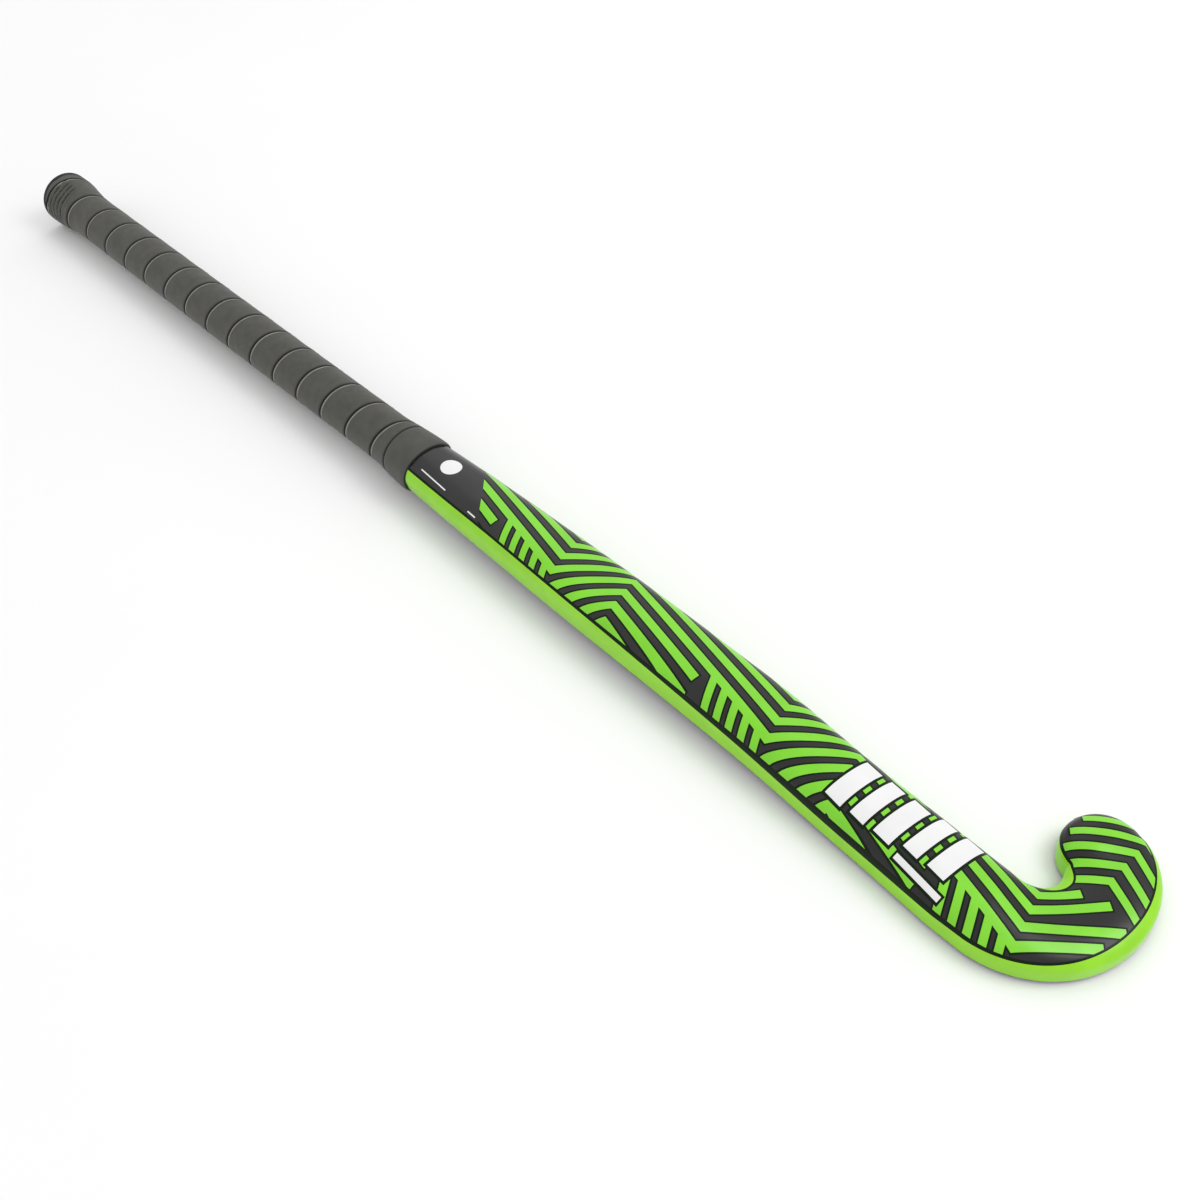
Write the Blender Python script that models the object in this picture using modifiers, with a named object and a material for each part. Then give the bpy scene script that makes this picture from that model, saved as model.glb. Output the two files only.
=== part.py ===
"""Field hockey stick, built as separate pieces in one frame.

Metres, +Z up. The stick lies on its flat playing face with its rounded back up. The handle points to -X,
the head to +X and the toe to +Y. The origin is the middle of the bottom of the whole stick.
"""

import math

import bmesh
import bpy
import numpy

# ---- driving dimensions, metres ----
STICK_LENGTH = 0.9144
GRIP_LENGTH = 0.4330
CAP_THICKNESS = 0.0030
BAND_LENGTH = 0.0215
BAND_TAPER = 0.0010
WRAP_PITCH = 0.0261
FIRST_SEAM = 0.0104
SHELL_THICKNESS = 0.0026
FILM_THICKNESS = 0.0003
LINER_THICKNESS = 0.0005
TAPE_THICKNESS = 0.0019
TAPE_EDGE = 0.0006
NARROWEST_TAPE = 0.0012
SMALLEST_CORNER = 0.0006
WIDEST_CORNER = 0.98
GAP = 0.0003
MERGE_DISTANCE = 0.00005

# ---- handle ----
RIM_RADIUS = 0.0190
HANDLE_RADIUS = 0.0125
FLARE_LENGTH = 0.0420
FLARE_FLAT = 0.0085
COLLAR_LENGTH = 0.0360
COLLAR_FILL = 0.80
CAP_EDGE = 0.0009
PLUG_LENGTH = 0.0450
PLUG_EDGE = 0.0010
PLUG_SLACK = 0.0006
SPIGOT_RADIUS = 0.0055
SPIGOT_LENGTH = 0.0100
SPIGOT_EDGE = 0.0008
BORE_SLACK = 0.0015

# ---- head, distances from the tip of the head (along X) and from the shaft's axis (along Y) ----
HOOK_LENGTH = 0.0750
HEEL_BACK = 0.0600
HEEL_DROP = 0.0275
NECK_Y = 0.0344
NECK_DEPTH = 0.0440
NECK_INNER_Y = 0.0328
NECK_BEND_Y = 0.0035
CROOK_BACK = 0.0603
CROOK_Y = 0.0183
TOE_BACK = 0.0390
TOE_Y = 0.0622
TOE_RADIUS = 0.0214
TOE_TOP_BACK = 0.0387
TOE_HEADING = math.radians(160)
TOE_JOIN = math.radians(77)
TOE_HALF_ANGLES = [90, 78, 66, 54, 42, 30, 18, 7]

# ---- where the pieces meet, distances from the handle end ----
HOOK_START = STICK_LENGTH - HOOK_LENGTH
FRONT = CAP_THICKNESS + GAP
SWELL_START = GRIP_LENGTH - 0.040
BAND_START = GRIP_LENGTH - BAND_LENGTH
BAND_MIDDLE = GRIP_LENGTH - 0.011
LINER_END = GRIP_LENGTH - 0.001
SWELL_EASE = 0.006
STRAIGHT_START = 0.480
STATION_STEP = 0.030
PAINT_START = GRIP_LENGTH + GAP
CORE_SPLIT = 0.760

# ---- distances of the shaft's cross-sections ----
HANDLE_DISTANCES = [FRONT, 0.046, 0.130, 0.220, 0.310]
SWELL_DISTANCES = [SWELL_START - SWELL_EASE, SWELL_START + SWELL_EASE, BAND_START, BAND_MIDDLE]
JOINT_DISTANCES = [0.448, 0.464]
LINER_DISTANCES = [COLLAR_LENGTH + GAP, 0.100, 0.200, 0.310]

# Knots of the shaft's section: distance from the handle end, then the value there.
EDGE_HEEL = [(0.000, HANDLE_RADIUS), (SWELL_START, 0.0130), (GRIP_LENGTH, 0.0176), (0.520, 0.0201),
             (0.599, 0.0214), (0.691, 0.0220), (0.785, 0.0242), (0.839, 0.0274)]
EDGE_TOE = [(0.000, HANDLE_RADIUS), (SWELL_START, 0.0130), (GRIP_LENGTH, 0.0176), (0.520, 0.0202),
            (0.599, 0.0211), (0.691, 0.0211), (0.770, 0.0188), (0.839, 0.0183)]
THICKNESS = [(0.000, 2 * HANDLE_RADIUS), (SWELL_START, 0.0260), (GRIP_LENGTH, 0.0256), (0.600, 0.0252),
             (0.785, 0.0252), (0.915, 0.0150)]
WALL_HEIGHT = [(0.000, HANDLE_RADIUS), (SWELL_START, 0.0130), (0.600, 0.0130), (0.785, 0.0105),
               (0.915, 0.0085)]
PAINT_HEIGHT = [(0.000, 0.0200), (0.480, 0.0199), (0.600, 0.0179), (0.785, 0.0113), (0.915, 0.0132)]
CORNER_RADIUS = [(0.000, HANDLE_RADIUS), (SWELL_START, 0.0130), (GRIP_LENGTH, 0.0120), (0.500, 0.0095),
                 (0.600, 0.0060), (0.785, 0.0035), (0.915, 0.0035)]
DOME_EXPONENT = [(0.000, 2.0), (SWELL_START, 2.0), (0.480, 2.3), (0.600, 2.5), (0.785, 2.3),
                 (0.915, 2.3)]
FACE_HEIGHT = [(0.000, RIM_RADIUS - HANDLE_RADIUS), (0.250, 0.0062), (0.560, 0.0068), (0.700, 0.0054),
               (0.800, 0.0004), (0.840, 0.0000), (0.915, 0.0000)]

# ---- how finely the curved surfaces are divided ----
CORNER_STEPS = 3
SHOULDER_STEPS = 2
BACK_STEPS = 8
FINE_STEPS = 8
HOOK_STEPS = 12
NECK_STEPS = 6
TURN_STEPS = 16
RING_STEPS = 20
CAP_STEPS = 32
PLUG_STEPS = 24


def smooth(knots, distance):
    """Value at a distance, on the smooth curve without overshoot through the knots."""
    places = [knot[0] for knot in knots]
    values = [knot[1] for knot in knots]
    if distance <= places[0]:
        return values[0]
    if distance >= places[-1]:
        return values[-1]
    slopes = [(values[i + 1] - values[i]) / (places[i + 1] - places[i]) for i in range(len(knots) - 1)]
    tangents = [slopes[0]]
    for before, after in zip(slopes, slopes[1:]):
        tangents.append(2 * before * after / (before + after) if before * after > 0 else 0.0)
    tangents.append(slopes[-1])
    i = max(k for k in range(len(knots) - 1) if places[k] <= distance)
    width = places[i + 1] - places[i]
    t = (distance - places[i]) / width
    return (values[i] * (1 + 2 * t) * (1 - t) ** 2 + values[i + 1] * t * t * (3 - 2 * t)
            + width * (tangents[i] * t * (1 - t) ** 2 - tangents[i + 1] * t * t * (1 - t)))


def quarter(centre_back, centre_y, reach_x, reach_y, angle):
    """Point of an ellipse in the head, given by its centre, its half axes and an angle."""
    return (STICK_LENGTH - centre_back + reach_x * math.cos(angle), centre_y + reach_y * math.sin(angle))


class Station:
    """One cross-section of the stick, between a point on its heel side and one on its toe side."""

    def __init__(self, heel, toe, rise=1.0):
        self.heel = numpy.array(heel)
        self.toe = numpy.array(toe)
        self.rise = rise
        self.distance = float(min(self.heel[0], STICK_LENGTH))
        self.heel_normal = None
        self.toe_normal = None


def shaft_station(distance):
    return Station((distance, -smooth(EDGE_HEEL, distance)), (distance, smooth(EDGE_TOE, distance)))


def head_stations():
    """Stations round the hook: heel to neck, neck to toe, and the round end of the toe."""
    stations = []
    for step in range(1, HOOK_STEPS + 1):
        angle = math.radians(-90 + 90 * step / HOOK_STEPS)
        heel = quarter(HEEL_BACK, NECK_Y, HEEL_BACK, NECK_Y + HEEL_DROP, angle)
        toe = quarter(CROOK_BACK, NECK_INNER_Y, CROOK_BACK - NECK_DEPTH, NECK_INNER_Y - CROOK_Y, angle)
        stations.append(Station(heel, toe))
    centre = numpy.array((STICK_LENGTH - TOE_BACK, TOE_Y))
    start = numpy.array((STICK_LENGTH - NECK_DEPTH, NECK_INNER_Y))
    bend = start + numpy.array((0.0, NECK_BEND_Y))
    end = toe_circle(centre, TOE_HEADING + math.pi / 2)
    for step in range(1, NECK_STEPS):
        t = step / NECK_STEPS
        heel = quarter(TOE_TOP_BACK, NECK_Y, TOE_TOP_BACK, TOE_Y + TOE_RADIUS - NECK_Y, TOE_JOIN * t)
        toe = start * (1 - t) ** 2 + bend * 2 * t * (1 - t) + end * t * t
        stations.append(Station(heel, toe))
    for degrees in TOE_HALF_ANGLES:
        half = math.radians(degrees)
        heel = toe_circle(centre, TOE_HEADING - half)
        toe = toe_circle(centre, TOE_HEADING + half)
        stations.append(Station(heel, toe, math.sin(half)))
    return stations


def toe_circle(centre, angle):
    return centre + TOE_RADIUS * numpy.array((math.cos(angle), math.sin(angle)))


def side_normals(points, outward):
    """Unit normals of an open line of plan points, on the side given by outward (+1 right, -1 left)."""
    normals = []
    for i in range(len(points)):
        along = points[min(i + 1, len(points) - 1)] - points[max(i - 1, 0)]
        along = along / numpy.linalg.norm(along)
        normals.append(outward * numpy.array((along[1], -along[0])))
    return normals


def all_stations():
    """Every station of the stick, from the handle end to the toe, with its outline normals."""
    distances = HANDLE_DISTANCES + SWELL_DISTANCES + [GRIP_LENGTH, PAINT_START] + JOINT_DISTANCES
    distances += [STRAIGHT_START + STATION_STEP * step for step in range(12)]
    distances += [HOOK_START, HOOK_START + 0.010]
    stations = [shaft_station(distance) for distance in distances] + head_stations()
    outline = [station.heel for station in stations] + [station.toe for station in stations[::-1]]
    normals = side_normals(outline, 1)
    for i, station in enumerate(stations):
        station.heel_normal = normals[i]
        station.toe_normal = normals[len(normals) - 1 - i]
    return stations


def dome_angles(station, shoulder_steps, back_steps):
    """Angles of the dome's points: up one shoulder to the paint line, over the back and down again."""
    wall = smooth(WALL_HEIGHT, station.distance)
    share = (smooth(PAINT_HEIGHT, station.distance) - wall) / (smooth(THICKNESS, station.distance) - wall)
    paint = math.asin(share ** (smooth(DOME_EXPONENT, station.distance) / 2))
    shoulder = [paint * step / shoulder_steps for step in range(shoulder_steps)]
    back = [paint + (math.pi - 2 * paint) * step / back_steps for step in range(back_steps + 1)]
    return shoulder + back + [math.pi - angle for angle in reversed(shoulder)]


def section(station, offset, corner_steps=CORNER_STEPS, back_steps=BACK_STEPS):
    """Closed D-shaped ring of a station, moved outward by offset: flat bottom, walls and dome."""
    heel = station.heel + station.heel_normal * offset
    toe = station.toe + station.toe_normal * offset
    middle = (heel + toe) / 2
    half = numpy.linalg.norm(heel - toe) / 2
    side = (heel - toe) / (2 * half)
    bottom = smooth(FACE_HEIGHT, station.distance)
    wall = smooth(WALL_HEIGHT, station.distance)
    dome = (smooth(THICKNESS, station.distance) - wall) * station.rise + offset
    exponent = 2 / smooth(DOME_EXPONENT, station.distance)
    radius = min(max(smooth(CORNER_RADIUS, station.distance) + offset, SMALLEST_CORNER), WIDEST_CORNER * half)
    drop = min(radius, wall + offset)
    outline = []
    for step in range(corner_steps + 1):
        angle = math.pi / 2 * step / corner_steps
        outline.append((half - radius + radius * math.sin(angle), drop - drop * math.cos(angle) - offset))
    for angle in dome_angles(station, SHOULDER_STEPS, back_steps):
        across = math.copysign(abs(math.cos(angle)) ** exponent, math.cos(angle))
        outline.append((half * across, wall + dome * math.sin(angle) ** exponent))
    for across, height in outline[corner_steps::-1]:
        outline.append((-across, height))
    ring = []
    for across, height in outline:
        x, y = middle + side * across
        ring.append((x, y, bottom + height))
    return ring


def handle_point(distance, angle, offset):
    """Point of the handle's section in a direction, with angle 0 at +Y and 90 degrees at +Z."""
    station = shaft_station(distance)
    station.heel_normal = numpy.array((0.0, -1.0))
    station.toe_normal = numpy.array((0.0, 1.0))
    ring = numpy.array(section(station, offset, FINE_STEPS, 3 * FINE_STEPS))
    centre = smooth(FACE_HEIGHT, distance) + smooth(THICKNESS, distance) / 2
    angles = numpy.arctan2(ring[:, 2] - centre, ring[:, 1])
    radii = numpy.hypot(ring[:, 1], ring[:, 2] - centre)
    order = numpy.argsort(angles)
    radius = numpy.interp(math.remainder(angle, 2 * math.pi), angles[order], radii[order], period=2 * math.pi)
    return (distance, radius * math.cos(angle), centre + radius * math.sin(angle))


def flare(distance):
    """Height that the collar adds under the grip, which falls from the rim to the handle."""
    height = RIM_RADIUS - HANDLE_RADIUS - tape_offset() - TAPE_THICKNESS
    t = min(max((distance - FLARE_FLAT) / (FLARE_LENGTH - FLARE_FLAT), 0.0), 1.0)
    return height * (1 - t * t * (3 - 2 * t))


def facet_sag(steps):
    """How far the middle of a flat facet lies inside a round handle of so many steps."""
    return HANDLE_RADIUS * (1 - math.cos(math.pi / steps))


def liner_offset():
    return GAP + facet_sag(RING_STEPS)


def tape_offset():
    return liner_offset() + LINER_THICKNESS + GAP + facet_sag(TURN_STEPS)


def frame_shift():
    """Shift that puts the middle of the stick's bounding box at X 0 and Y 0."""
    film = GAP + FILM_THICKNESS
    outline = []
    for station in all_stations():
        outline.append(station.heel + station.heel_normal * film)
        outline.append(station.toe + station.toe_normal * film)
    lowest = min(place[1] for place in outline)
    highest = max(place[1] for place in outline)
    return numpy.array((-max(place[0] for place in outline) / 2, -(lowest + highest) / 2, 0.0))


def make_material(name, color, roughness, metallic=0.0):
    material = bpy.data.materials.new(name)
    material.use_nodes = True
    shader = material.node_tree.nodes["Principled BSDF"]
    shader.inputs["Base Color"].default_value = (*color, 1.0)
    shader.inputs["Roughness"].default_value = roughness
    shader.inputs["Metallic"].default_value = metallic
    material.diffuse_color = (*color, 1.0)
    return material


def add_piece(name, points, faces, material, sharp_degrees=35):
    """Make one closed piece from points and faces, shaded smooth except at its edges."""
    shift = frame_shift()
    mesh = bpy.data.meshes.new(name)
    mesh.from_pydata([tuple(numpy.array(point) + shift) for point in points], [], faces)
    builder = bmesh.new()
    builder.from_mesh(mesh)
    bmesh.ops.recalc_face_normals(builder, faces=builder.faces)
    builder.to_mesh(mesh)
    builder.free()
    mesh.materials.append(material)
    mesh.shade_smooth()
    mesh.set_sharp_from_angle(angle=math.radians(sharp_degrees))
    piece = bpy.data.objects.new(name, mesh)
    bpy.data.collections["field_hockey_stick"].objects.link(piece)
    return piece


def bridge(first, second, count):
    """Faces between two closed rings of points, split one way so that neighbouring layers stay parallel."""
    faces = []
    for k in range(count):
        after = (k + 1) % count
        faces.append((first + k, first + after, second + after))
        faces.append((first + k, second + after, second + k))
    return faces


def loft(rings, close_ends=True):
    """Points and faces of the surface through closed rings, with flat ends if close_ends."""
    count = len(rings[0])
    points = [point for ring in rings for point in ring]
    faces = []
    for i in range(len(rings) - 1):
        faces += bridge(i * count, (i + 1) * count, count)
    if close_ends:
        faces.append(tuple(range(count)))
        faces.append(tuple((len(rings) - 1) * count + k for k in range(count)))
    return points, faces


def make_shell(stations, material):
    """The laminate tube: outer and inner surfaces joined by a ring at the open handle end."""
    outer = [section(station, 0.0) for station in stations]
    inner = [section(station, -SHELL_THICKNESS) for station in stations]
    count = len(outer[0])
    points, faces = loft(outer, close_ends=False)
    faces.append(tuple(len(points) - count + k for k in range(count)))
    start = len(points)
    inner_points, inner_faces = loft(inner, close_ends=False)
    points += inner_points
    faces += [tuple(start + k for k in face) for face in inner_faces]
    faces.append(tuple(len(points) - count + k for k in range(count)))
    faces += bridge(0, start, count)
    return add_piece("stick_shell", points, faces, material)


def make_core(name, stations, material):
    """Foam that fills the tube between the first and the last of these stations."""
    points, faces = loft([section(station, -SHELL_THICKNESS - GAP) for station in stations])
    return add_piece(name, points, faces, material)


def station_between(stations, distance):
    """A new shaft station with normals at a distance from the handle end."""
    station = shaft_station(distance)
    near = min(stations, key=lambda other: abs(other.distance - distance))
    station.heel_normal = near.heel_normal
    station.toe_normal = near.toe_normal
    return station


def paint_index():
    """Place of the paint line in a section's ring, on the heel side."""
    return CORNER_STEPS + 1 + SHOULDER_STEPS


def step_towards(point, other, length):
    """Point moved by a length towards another point."""
    point = numpy.array(point)
    way = numpy.array(other) - point
    return tuple(point + way * length / numpy.linalg.norm(way))


def make_back_graphic(stations, material):
    """Film over the back, from one paint line to the other and round the toe."""
    first = paint_index()
    rings = []
    for station in stations:
        sides = []
        for offset in (GAP, GAP + FILM_THICKNESS):
            line = section(station, offset)[first:first + BACK_STEPS + 1]
            line[0] = step_towards(line[0], line[1], GAP / 2)
            line[-1] = step_towards(line[-1], line[-2], GAP / 2)
            sides.append(line)
        rings.append(sides[0] + sides[1][::-1])
    points, faces = loft(rings)
    return add_piece("back_graphic", points, faces, material)


def band_ring(station, toe_side):
    """Ring of the side band at a station, from the face's corner up to the paint line."""
    sides = []
    for offset in (GAP, GAP + FILM_THICKNESS):
        ring = section(station, offset)
        if toe_side:
            ring = ring[::-1]
        line = ring[CORNER_STEPS - 1:paint_index() + 1]
        line[-1] = step_towards(line[-1], line[-2], GAP / 2)
        sides.append(line)
    return sides[0] + sides[1][::-1]


def make_side_band(stations, material):
    """Film along the heel wall, round the toe and back along the toe wall."""
    rings = [band_ring(station, False) for station in stations]
    rings += [band_ring(station, True) for station in reversed(stations)]
    points, faces = loft(rings)
    return add_piece("side_band", points, faces, material)


def band_offset(distance):
    """Outer offset of the finish band, which thins towards the shaft and has bevelled ends."""
    thinned = BAND_TAPER * (distance - BAND_START) / BAND_LENGTH
    bevel = TAPE_EDGE if distance in (BAND_START, GRIP_LENGTH) else 0.0
    return tape_offset() + TAPE_THICKNESS - thinned - bevel


def make_sleeve(name, distances, inner_offset, outer_offset, material):
    """Tube on the handle between two offsets, which may be functions of the distance."""
    angles = [2 * math.pi * step / RING_STEPS for step in range(RING_STEPS)]
    rings = []
    for offset in (outer_offset, inner_offset):
        line = distances if offset is outer_offset else distances[::-1]
        rings += [[handle_point(distance, angle, offset(distance)) for angle in angles] for distance in line]
    points, faces = loft(rings, close_ends=False)
    faces += bridge((len(rings) - 1) * RING_STEPS, 0, RING_STEPS)
    return add_piece(name, points, faces, material)


def make_grip_tape(material):
    """One strip wound on the handle, left-handed, its ends trimmed square to the handle."""
    last = BAND_START - GAP
    edge_height = TAPE_THICKNESS - TAPE_EDGE
    rings = []
    turns = int(last / WRAP_PITCH) + 2
    for step in range(-2 * TURN_STEPS, turns * TURN_STEPS):
        low = FIRST_SEAM + WRAP_PITCH * step / TURN_STEPS
        high = min(low + WRAP_PITCH - GAP / 2, last)
        low = max(low + GAP / 2, FRONT)
        if high - low < NARROWEST_TAPE:
            continue
        angle = math.pi / 2 - 2 * math.pi * step / TURN_STEPS
        middle = (low + high) / 2
        outline = [(low, 0.0), (low, edge_height), (low + TAPE_EDGE, TAPE_THICKNESS), (middle, TAPE_THICKNESS),
                   (high - TAPE_EDGE, TAPE_THICKNESS), (high, edge_height), (high, 0.0), (middle, 0.0)]
        rings.append([handle_point(distance, angle, tape_offset() + flare(distance) + height)
                      for distance, height in outline])
    points, faces = loft(rings)
    return add_piece("grip_tape", points, faces, material)


def turned(name, profile, material, steps):
    """Piece turned about the handle's axis from a profile of (distance, radius) points."""
    builder = bmesh.new()
    corners = [builder.verts.new((radius, 0.0, distance)) for distance, radius in profile]
    for before, after in zip(corners, corners[1:]):
        builder.edges.new((before, after))
    mesh = bpy.data.meshes.new(name)
    builder.to_mesh(mesh)
    builder.free()
    mesh.materials.append(material)
    piece = bpy.data.objects.new(name, mesh)
    bpy.data.collections["field_hockey_stick"].objects.link(piece)
    screw = piece.modifiers.new("turn", "SCREW")
    screw.axis = "Z"
    screw.steps = steps
    screw.render_steps = steps
    screw.use_merge_vertices = True
    screw.merge_threshold = MERGE_DISTANCE
    shift = frame_shift()
    piece.rotation_euler = (0.0, math.pi / 2, 0.0)
    piece.location = (shift[0], shift[1], RIM_RADIUS)
    return piece


def make_butt_cap(material):
    """Rounded disc over the handle end, with a spigot that goes into the plug."""
    spigot_end = CAP_THICKNESS + SPIGOT_LENGTH
    flat_radius = RIM_RADIUS - CAP_EDGE
    profile = [(spigot_end, 0.0), (spigot_end, SPIGOT_RADIUS - SPIGOT_EDGE),
               (spigot_end - SPIGOT_EDGE, SPIGOT_RADIUS), (CAP_THICKNESS, SPIGOT_RADIUS),
               (CAP_THICKNESS, flat_radius)]
    for degrees in (30, 60, 90, 120, 150):
        angle = math.radians(degrees)
        profile.append((CAP_THICKNESS / 2 * (1 + math.cos(angle)), flat_radius + CAP_EDGE * math.sin(angle)))
    profile += [(0.0, flat_radius), (0.0, 0.0)]
    return turned("butt_cap", profile, material, CAP_STEPS)


def make_handle_plug(material):
    """Plug in the open end of the tube, with a blind bore for the cap's spigot."""
    radius = HANDLE_RADIUS - SHELL_THICKNESS - GAP - PLUG_SLACK
    bore = SPIGOT_RADIUS + GAP
    depth = CAP_THICKNESS + SPIGOT_LENGTH + BORE_SLACK
    profile = [(PLUG_LENGTH, 0.0), (PLUG_LENGTH, radius - PLUG_EDGE), (PLUG_LENGTH - PLUG_EDGE, radius),
               (FRONT, radius), (FRONT, bore), (depth, bore), (depth, 0.0)]
    return turned("handle_plug", profile, material, PLUG_STEPS)


def main():
    for thing in list(bpy.data.objects):
        bpy.data.objects.remove(thing)
    collection = bpy.data.collections.new("field_hockey_stick")
    bpy.context.scene.collection.children.link(collection)

    lacquer = make_material("black_lacquer", (0.014, 0.014, 0.015), 0.30)
    light_foam = make_material("shaft_foam", (0.72, 0.66, 0.48), 0.90)
    dense_foam = make_material("head_foam", (0.55, 0.42, 0.24), 0.85)
    plug_plastic = make_material("plug_plastic", (0.10, 0.10, 0.11), 0.55)
    cap_rubber = make_material("cap_rubber", (0.022, 0.022, 0.021), 0.70)
    collar_foam = make_material("collar_foam", (0.05, 0.05, 0.05), 0.90)
    liner_tape = make_material("liner_tape", (0.80, 0.78, 0.70), 0.80)
    grip_cushion = make_material("grip_cushion", (0.075, 0.074, 0.064), 0.75)
    green_film = make_material("green_film", (0.27, 0.68, 0.03), 0.28)
    back_film = make_material("back_film", (0.045, 0.045, 0.046), 0.28)

    stations = all_stations()
    make_shell(stations, lacquer)
    painted = [station for station in stations if station.distance >= PAINT_START]
    make_side_band(painted, green_film)
    make_back_graphic(painted, back_film)

    core_start = station_between(stations, PLUG_LENGTH + GAP)
    shaft = [station for station in stations if core_start.distance < station.distance < CORE_SPLIT]
    split = station_between(stations, CORE_SPLIT)
    after_split = station_between(stations, CORE_SPLIT + GAP)
    head = [station for station in stations if station.distance > after_split.distance]
    make_core("shaft_core", [core_start] + shaft + [split], light_foam)
    make_core("head_core", [after_split] + head, dense_foam)

    make_butt_cap(cap_rubber)
    make_handle_plug(plug_plastic)
    collar_line = [FRONT + (COLLAR_LENGTH - FRONT) * step / 5 for step in range(6)]
    make_sleeve("butt_collar", collar_line,
                lambda distance: liner_offset(),
                lambda distance: liner_offset() + LINER_THICKNESS + COLLAR_FILL * flare(distance), collar_foam)
    make_sleeve("grip_liner", LINER_DISTANCES + SWELL_DISTANCES + [LINER_END],
                lambda distance: liner_offset(),
                lambda distance: liner_offset() + LINER_THICKNESS, liner_tape)
    make_grip_tape(grip_cushion)
    band_line = [BAND_START, BAND_START + TAPE_EDGE, BAND_MIDDLE, GRIP_LENGTH - TAPE_EDGE, GRIP_LENGTH]
    make_sleeve("finish_band", band_line,
                lambda distance: tape_offset(), band_offset, grip_cushion)


main()
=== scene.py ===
"""Looks of the field hockey stick: fine lacquered skins, wound cushion grip and studio view.

The skins repeat the outline and the section laws of the CAD part at a finer pitch. Places along the stick are
distances from the handle end, places across it are measured from the shaft's axis, in metres.
"""

import math

import bmesh
import bpy
import mathutils
import numpy
from mathutils.bvhtree import BVHTree
from mathutils.interpolate import poly_3d_calc
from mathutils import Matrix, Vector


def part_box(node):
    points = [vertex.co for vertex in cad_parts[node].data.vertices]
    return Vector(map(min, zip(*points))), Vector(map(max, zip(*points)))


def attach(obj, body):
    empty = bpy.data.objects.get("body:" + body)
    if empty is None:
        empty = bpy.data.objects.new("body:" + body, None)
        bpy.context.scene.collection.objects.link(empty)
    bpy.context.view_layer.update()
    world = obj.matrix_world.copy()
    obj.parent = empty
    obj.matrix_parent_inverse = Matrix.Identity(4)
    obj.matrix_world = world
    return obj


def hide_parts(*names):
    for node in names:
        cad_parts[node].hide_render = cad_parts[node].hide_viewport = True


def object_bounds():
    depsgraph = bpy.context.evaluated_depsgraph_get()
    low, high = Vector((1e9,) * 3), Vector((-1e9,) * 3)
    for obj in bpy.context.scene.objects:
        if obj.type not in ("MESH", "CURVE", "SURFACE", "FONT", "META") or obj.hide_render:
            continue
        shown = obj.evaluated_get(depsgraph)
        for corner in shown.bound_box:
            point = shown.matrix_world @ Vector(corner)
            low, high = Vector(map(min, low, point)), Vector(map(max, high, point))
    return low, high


# ---- the stick's driving dimensions, metres ----
STICK_LENGTH = 0.9144
GRIP_LENGTH = 0.4330
CAP_THICKNESS = 0.0030
BAND_LENGTH = 0.0215
BAND_TAPER = 0.0010
WRAP_PITCH = 0.0261
FIRST_SEAM = 0.0104
SHELL_THICKNESS = 0.0026
LINER_THICKNESS = 0.0005
TAPE_THICKNESS = 0.0019
GAP = 0.0003
SKIN_OUTER = 0.0006
SKIN_INNER = 0.00008
SMALLEST_CORNER = 0.0006
WIDEST_CORNER = 0.98

# ---- handle ----
RIM_RADIUS = 0.0190
HANDLE_RADIUS = 0.0125
FLARE_LENGTH = 0.0420
FLARE_FLAT = 0.0085
CAP_EDGE = 0.0009
SPIGOT_RADIUS = 0.0055
SPIGOT_LENGTH = 0.0100

# ---- head, distances from the tip of the head (along X) and from the shaft's axis (along Y) ----
HOOK_LENGTH = 0.0750
HEEL_BACK = 0.0600
HEEL_DROP = 0.0275
NECK_Y = 0.0344
NECK_DEPTH = 0.0440
NECK_INNER_Y = 0.0328
NECK_BEND_Y = 0.0035
CROOK_BACK = 0.0603
CROOK_Y = 0.0183
TOE_BACK = 0.0390
TOE_Y = 0.0622
TOE_RADIUS = 0.0214
TOE_TOP_BACK = 0.0387
TOE_HEADING = math.radians(160)
TOE_JOIN = math.radians(77)

FRONT = CAP_THICKNESS + GAP
HOOK_START = STICK_LENGTH - HOOK_LENGTH
SWELL_START = GRIP_LENGTH - 0.040
BAND_START = GRIP_LENGTH - BAND_LENGTH
PAINT_START = GRIP_LENGTH + GAP

# Knots of the shaft's section: distance from the handle end, then the value there.
EDGE_HEEL = [(0.000, HANDLE_RADIUS), (SWELL_START, 0.0130), (GRIP_LENGTH, 0.0176), (0.520, 0.0201),
             (0.599, 0.0214), (0.691, 0.0220), (0.785, 0.0242), (0.839, 0.0274)]
EDGE_TOE = [(0.000, HANDLE_RADIUS), (SWELL_START, 0.0130), (GRIP_LENGTH, 0.0176), (0.520, 0.0202),
            (0.599, 0.0211), (0.691, 0.0211), (0.770, 0.0188), (0.839, 0.0183)]
THICKNESS = [(0.000, 2 * HANDLE_RADIUS), (SWELL_START, 0.0260), (GRIP_LENGTH, 0.0256), (0.600, 0.0252),
             (0.785, 0.0252), (0.915, 0.0150)]
WALL_HEIGHT = [(0.000, HANDLE_RADIUS), (SWELL_START, 0.0130), (0.600, 0.0130), (0.785, 0.0105),
               (0.915, 0.0085)]
PAINT_HEIGHT = [(0.000, 0.0200), (0.480, 0.0199), (0.600, 0.0179), (0.785, 0.0113), (0.915, 0.0132)]
CORNER_RADIUS = [(0.000, HANDLE_RADIUS), (SWELL_START, 0.0130), (GRIP_LENGTH, 0.0120), (0.500, 0.0095),
                 (0.600, 0.0060), (0.785, 0.0035), (0.915, 0.0035)]
DOME_EXPONENT = [(0.000, 2.0), (SWELL_START, 2.0), (0.480, 2.3), (0.600, 2.5), (0.785, 2.3),
                 (0.915, 2.3)]
FACE_HEIGHT = [(0.000, RIM_RADIUS - HANDLE_RADIUS), (0.250, 0.0062), (0.560, 0.0068), (0.700, 0.0054),
               (0.800, 0.0004), (0.840, 0.0000), (0.915, 0.0000)]

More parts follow.
